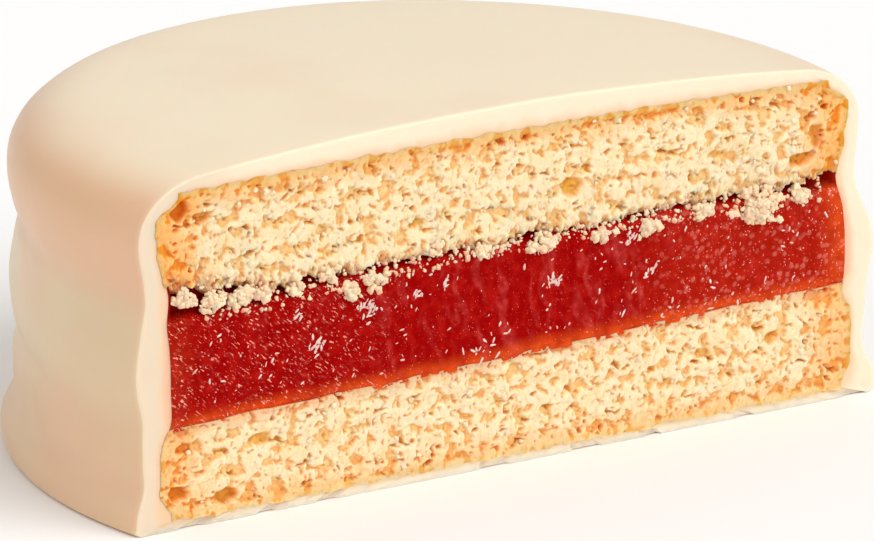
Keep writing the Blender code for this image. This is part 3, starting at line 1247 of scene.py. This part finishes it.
def surfaces(*names):
    """Search trees of the named pieces."""
    bpy.context.view_layer.update()
    depsgraph = bpy.context.evaluated_depsgraph_get()
    return [BVHTree.FromObject(bpy.data.objects[name], depsgraph) for name in names]


class Heap:
    """Many small bodies joined into one mesh."""

    def __init__(self):
        self.points = []
        self.faces = []
        self.values = []
        self.count = 0

    def add(self, points, faces, value):
        """Add one body with a value for all its points."""
        self.points.append(points)
        self.faces.append(faces + self.count)
        self.values.append(value + 0 * points[:, 0])
        self.count += len(points)

    def piece(self, name, key):
        """The joined mesh object."""
        points = np.concatenate(self.points)
        faces = np.concatenate(self.faces).tolist()
        return new_object(name, points, faces, {key: np.concatenate(self.values)})


def turned(points, chance):
    """The points turned a random way."""
    axis = Vector(chance.normal(size=3))
    turn = Matrix.Rotation(chance.uniform(0, 2 * math.pi), 3, axis.normalized())
    return points @ np.array(turn).T


# Larger crumbs stuck along the seam: (x, height, width)
SEAM_CRUMBS = (
    (-28.7, 16.9, 1.3),
    (-26.4, 16.3, 1.6),
    (-24.0, 16.2, 1.5),
    (-22.2, 16.2, 1.1),
    (-19.2, 16.1, 1.0),
    (-16.6, 16.6, 1.0),
    (-14.8, 15.2, 1.3),
    (-12.7, 15.8, 1.5),
    (-7.1, 17.1, 1.0),
    (-3.4, 16.4, 1.2),
    (2.0, 16.2, 1.4),
    (7.2, 16.1, 1.3),
    (11.6, 16.0, 1.3),
    (16.4, 16.5, 1.4),
    (21.3, 16.0, 2.8),
    (25.4, 16.3, 1.3),
)


def crumb_heap(options):
    """Loose crumbs along the seam and on the sponge."""
    chance = np.random.default_rng(5)
    trees = surfaces("upper_sponge", "lower_sponge", "red_jam")
    small = ball(2)
    large = ball(3)
    heap = Heap()

    def drop(x, z, size, stain, lift=0.0):
        """One crumb, part sunk in what is behind it, redder on its lower side."""
        points, faces = large if size > 0.34 * MM else small
        shape = turned(lumpy(points, chance, 0.8) * chance.uniform(0.6, 1.1, size=3), chance)
        shape = shape * size * 0.62
        y = min(foremost(trees, x, z), CUT_Y + 0.25 * MM) - lift
        wet = np.clip(stain - 0.5 * stain * shape[:, 2] / size * 2, 0, 1)
        heap.add(shape + np.array([x, y, z]), faces, wet)

    for x, z, width in SEAM_CRUMBS:
        for _ in range(int(16 * width**1.5)):
            across, up = chance.normal(size=2) * 0.27 * width
            size = chance.uniform(0.16, 0.50) * MM * (1 + 0.2 * width)
            lift = chance.uniform(0.0, 0.25) * width * MM * math.exp(-(across**2 + up**2) / width)
            place_x = (x + 1.15 * across) * MM
            drop(place_x, (z + 0.75 * up) * MM, size, chance.uniform(0.0, 0.35), lift)
    for _ in range(options.seam_count):
        x = chance.uniform(-0.93, 0.93) * HALF_WIDTH
        low = float(jam_edge(np.array(x))) - 0.55 * MM
        high = float(ragged_seam(np.array(x))) + 0.15 * MM
        z = chance.uniform(low, high)
        size = chance.uniform(0.10, 0.34) * MM
        drop(x, z, size, chance.uniform(0.1, 0.9) * (1.0 if z < high - 0.4 * MM else 0.3))
    for _ in range(options.face_count):
        x = chance.uniform(-0.97, 0.97) * HALF_WIDTH
        upper = chance.random() < 0.55
        low = float(ragged_seam(np.array(x))) if upper else ROOM_FLOOR
        high = float(room_roof(x)) if upper else float(soft_seam(np.array(x))) - 0.4 * MM
        drop(x, chance.uniform(low, high), chance.uniform(0.14, 0.40) * MM, 0.0)
    return heap.piece("crumbs", "stain")


# Clusters of sugar on the jam: (x, height, spread, bits)
SUGAR_CLUSTERS = (
    (-13.0, 13.7, 0.9, 34),
    (-19.1, 14.2, 0.5, 8),
    (-17.6, 11.7, 0.8, 16),
    (-8.8, 14.4, 0.6, 9),
    (-6.4, 14.5, 0.5, 6),
    (3.2, 13.1, 0.7, 18),
    (9.8, 15.4, 0.8, 20),
    (-2.6, 9.3, 1.2, 12),
    (11.8, 12.8, 0.8, 8),
)


def sugar_heap(options):
    """Small pale slivers of sugar stuck to the jam."""
    chance = np.random.default_rng(11)
    trees = surfaces("red_jam")
    points, faces = ball(2)
    heap = Heap()

    def drop(x, z, size, stain):
        """One sliver lying on the jam."""
        long = chance.uniform(0.9, 2.6)
        tilt = chance.normal(0.6, 0.7)
        shape = lumpy(points, chance, 0.5) * np.array([0.75, 0.6, long]) * size / 2
        turn = np.array(Matrix.Rotation(tilt, 3, "Y"))
        place = np.array([x, foremost(trees, x, z), z])
        heap.add(shape @ turn.T + place, faces, stain)

    for x, z, spread, bits in SUGAR_CLUSTERS:
        for _ in range(bits):
            across, up = chance.normal(size=2) * spread * 0.5
            size = chance.uniform(0.12, 0.30) * MM
            drop((x + across) * MM, (z + 0.8 * up) * MM, size, chance.uniform(0, 0.4))
    for _ in range(options.sugar_count):
        x = chance.uniform(-0.95, 0.95) * HALF_WIDTH
        z = chance.uniform(8.6, 15.8) * MM
        drop(x, z, chance.uniform(0.08, 0.24) * MM, chance.uniform(0, 0.7))
    return heap.piece("sugar_bits", "stain")


def crumb_material(name, plain, stained, roughness):
    """Pale crumb, redder where it is wet with jam."""
    shader = Shader(name)
    patch = shader.noise(0.5 * MM, 2.0)
    colour = shader.mix(patch * 0.4, plain, tuple(part * 0.9 for part in plain))
    colour = shader.mix(shader.value("stain").limited(), colour, stained)
    return shader.finish(
        {
            "Base Color": colour,
            "Roughness": roughness,
            "Subsurface Weight": 0.3,
            "Subsurface Radius": (1.0, 0.6, 0.35),
            "Subsurface Scale": 0.5 * MM,
            "Specular IOR Level": 0.3,
            "Normal": shader.bump(shader.noise(0.15 * MM, 2.0), 0.04 * MM),
        }
    )


# ---------------------------------------------------------------- operators


class BISCUIT_OT_coating(bpy.types.Operator):
    """Make the white coating"""

    bl_idname = "biscuit.coating"
    bl_label = "Coating"

    def execute(self, context):
        options = context.scene.biscuit_coating
        piece = coating_object(options)
        place_piece(piece, ["coating"], coating_material(options))
        return {"FINISHED"}


class BISCUIT_OT_sponges(bpy.types.Operator):
    """Make the two biscuit layers"""

    bl_idname = "biscuit.sponges"
    bl_label = "Biscuit Layers"

    def execute(self, context):
        options = context.scene.biscuit_sponge
        for layer in ("upper", "lower"):
            front, back = SPONGE_SEAMS[layer]
            relief = sponge_relief(layer, options)
            piece = layer_object(layer + "_sponge", front, back, options.spacing, relief)
            material = sponge_material(layer + "_sponge", options)
            place_piece(piece, [layer + "_biscuit"], material)
        return {"FINISHED"}


class BISCUIT_OT_jam(bpy.types.Operator):
    """Make the jam filling"""

    bl_idname = "biscuit.jam"
    bl_label = "Jam"

    def execute(self, context):
        options = context.scene.biscuit_jam
        front = (
            lambda across: soft_seam(across) - 0.25 * MM,
            lambda across: ragged_seam(across) + 0.9 * MM,
        )
        back = (
            lambda across: jam_floor(across) + SEAM_GAP,
            lambda across: jam_roof(across) - SEAM_GAP,
        )
        piece = layer_object("red_jam", front, back, options.spacing, jam_relief(options))
        place_piece(piece, ["jam_filling"], jam_material(options))
        return {"FINISHED"}


class BISCUIT_OT_crumbs(bpy.types.Operator):
    """Scatter the loose crumbs and the sugar"""

    bl_idname = "biscuit.crumbs"
    bl_label = "Crumbs and Sugar"

    def execute(self, context):
        options = context.scene.biscuit_crumbs
        crumb = crumb_material("loose_crumb", options.colour, options.stained, 0.75)
        place_piece(crumb_heap(options), [], crumb)
        sugar = crumb_material("sugar", options.sugar, options.stained, 0.35)
        place_piece(sugar_heap(options), [], sugar)
        return {"FINISHED"}


class BISCUIT_OT_stage(bpy.types.Operator):
    """Set up the camera, the lights and the floor"""

    bl_idname = "biscuit.stage"
    bl_label = "Stage"

    def execute(self, context):
        options = context.scene.biscuit_stage
        azimuth = math.radians(options.azimuth)
        elevation = math.radians(options.elevation)
        back = Vector((
            math.sin(azimuth) * math.cos(elevation),
            -math.cos(azimuth) * math.cos(elevation),
            math.sin(elevation),
        ))
        right = Vector((math.cos(azimuth), math.sin(azimuth), 0.0))
        up = back.cross(right)
        turn = math.radians(options.roll)
        right, up = (
            right * math.cos(turn) + up * math.sin(turn),
            up * math.cos(turn) - right * math.sin(turn),
        )
        aim = Vector((0.0, AXIS_Y + 10 * MM, 13 * MM))
        aim += right * options.aim_right + up * options.aim_up
        camera = bpy.data.objects.new("camera", bpy.data.cameras.new("camera"))
        camera.data.lens = options.lens
        camera.data.sensor_width = 36.0
        camera.data.clip_end = 10.0
        facing = Matrix((right, up, back)).transposed().to_4x4()
        camera.matrix_world = Matrix.Translation(aim + back * options.distance) @ facing
        context.scene.collection.objects.link(camera)
        context.scene.camera = camera

        self.sun(context, "key", (0.30, -0.62, 0.72), options.key, (1.0, 0.985, 0.96))
        self.sun(context, "fill", (-0.80, -0.30, 0.50), options.fill, (1.0, 0.97, 0.93))

        world = bpy.data.worlds.new("studio")
        world.use_nodes = True
        background = world.node_tree.nodes["Background"]
        background.inputs["Color"].default_value = (1.0, 1.0, 1.0, 1.0)
        background.inputs["Strength"].default_value = options.sky
        context.scene.world = world
        context.scene.view_settings.view_transform = "Standard"

        size = 3.0
        corners = [(-size, -size, 0), (size, -size, 0), (size, size, 0), (-size, size, 0)]
        floor = new_object("floor", np.array(corners, float), [(0, 1, 2, 3)])
        shader = Shader("floor")
        floor.data.materials.append(
            shader.finish({"Base Color": (0.97, 0.97, 0.97, 1.0), "Roughness": 0.9})
        )
        return {"FINISHED"}

    def sun(self, context, name, towards, strength, colour):
        """A very soft sun seen in a direction."""
        data = bpy.data.lights.new(name, "SUN")
        data.angle = math.radians(50)
        data.energy = strength
        data.color = colour
        lamp = bpy.data.objects.new(name, data)
        lamp.rotation_euler = Vector(towards).to_track_quat("Z", "Y").to_euler()
        context.scene.collection.objects.link(lamp)


class BISCUIT_PT_panel(bpy.types.Panel):
    """Lists the steps that build the biscuit"""

    bl_idname = "BISCUIT_PT_panel"
    bl_label = "Biscuit"
    bl_space_type = "VIEW_3D"
    bl_region_type = "UI"
    bl_category = "Biscuit"

    def draw(self, context):
        for operator in OPERATORS:
            self.layout.operator(operator.bl_idname)


OPERATORS = (
    BISCUIT_OT_stage,
    BISCUIT_OT_coating,
    BISCUIT_OT_sponges,
    BISCUIT_OT_jam,
    BISCUIT_OT_crumbs,
)
CLASSES = (*SETTINGS.values(), *OPERATORS, BISCUIT_PT_panel)


def register():
    """Register the classes and hang the settings on the scene."""
    for item in CLASSES:
        bpy.utils.register_class(item)
    for name, group in SETTINGS.items():
        setattr(bpy.types.Scene, name, PointerProperty(type=group))


def unregister():
    """Take the settings and the classes away again."""
    for name in SETTINGS:
        delattr(bpy.types.Scene, name)
    for item in reversed(CLASSES):
        bpy.utils.unregister_class(item)


def main():
    """Build everything."""
    register()
    bpy.ops.biscuit.stage()
    bpy.ops.biscuit.coating()
    bpy.ops.biscuit.sponges()
    bpy.ops.biscuit.jam()
    bpy.ops.biscuit.crumbs()


if __name__ == "__main__":
    main()
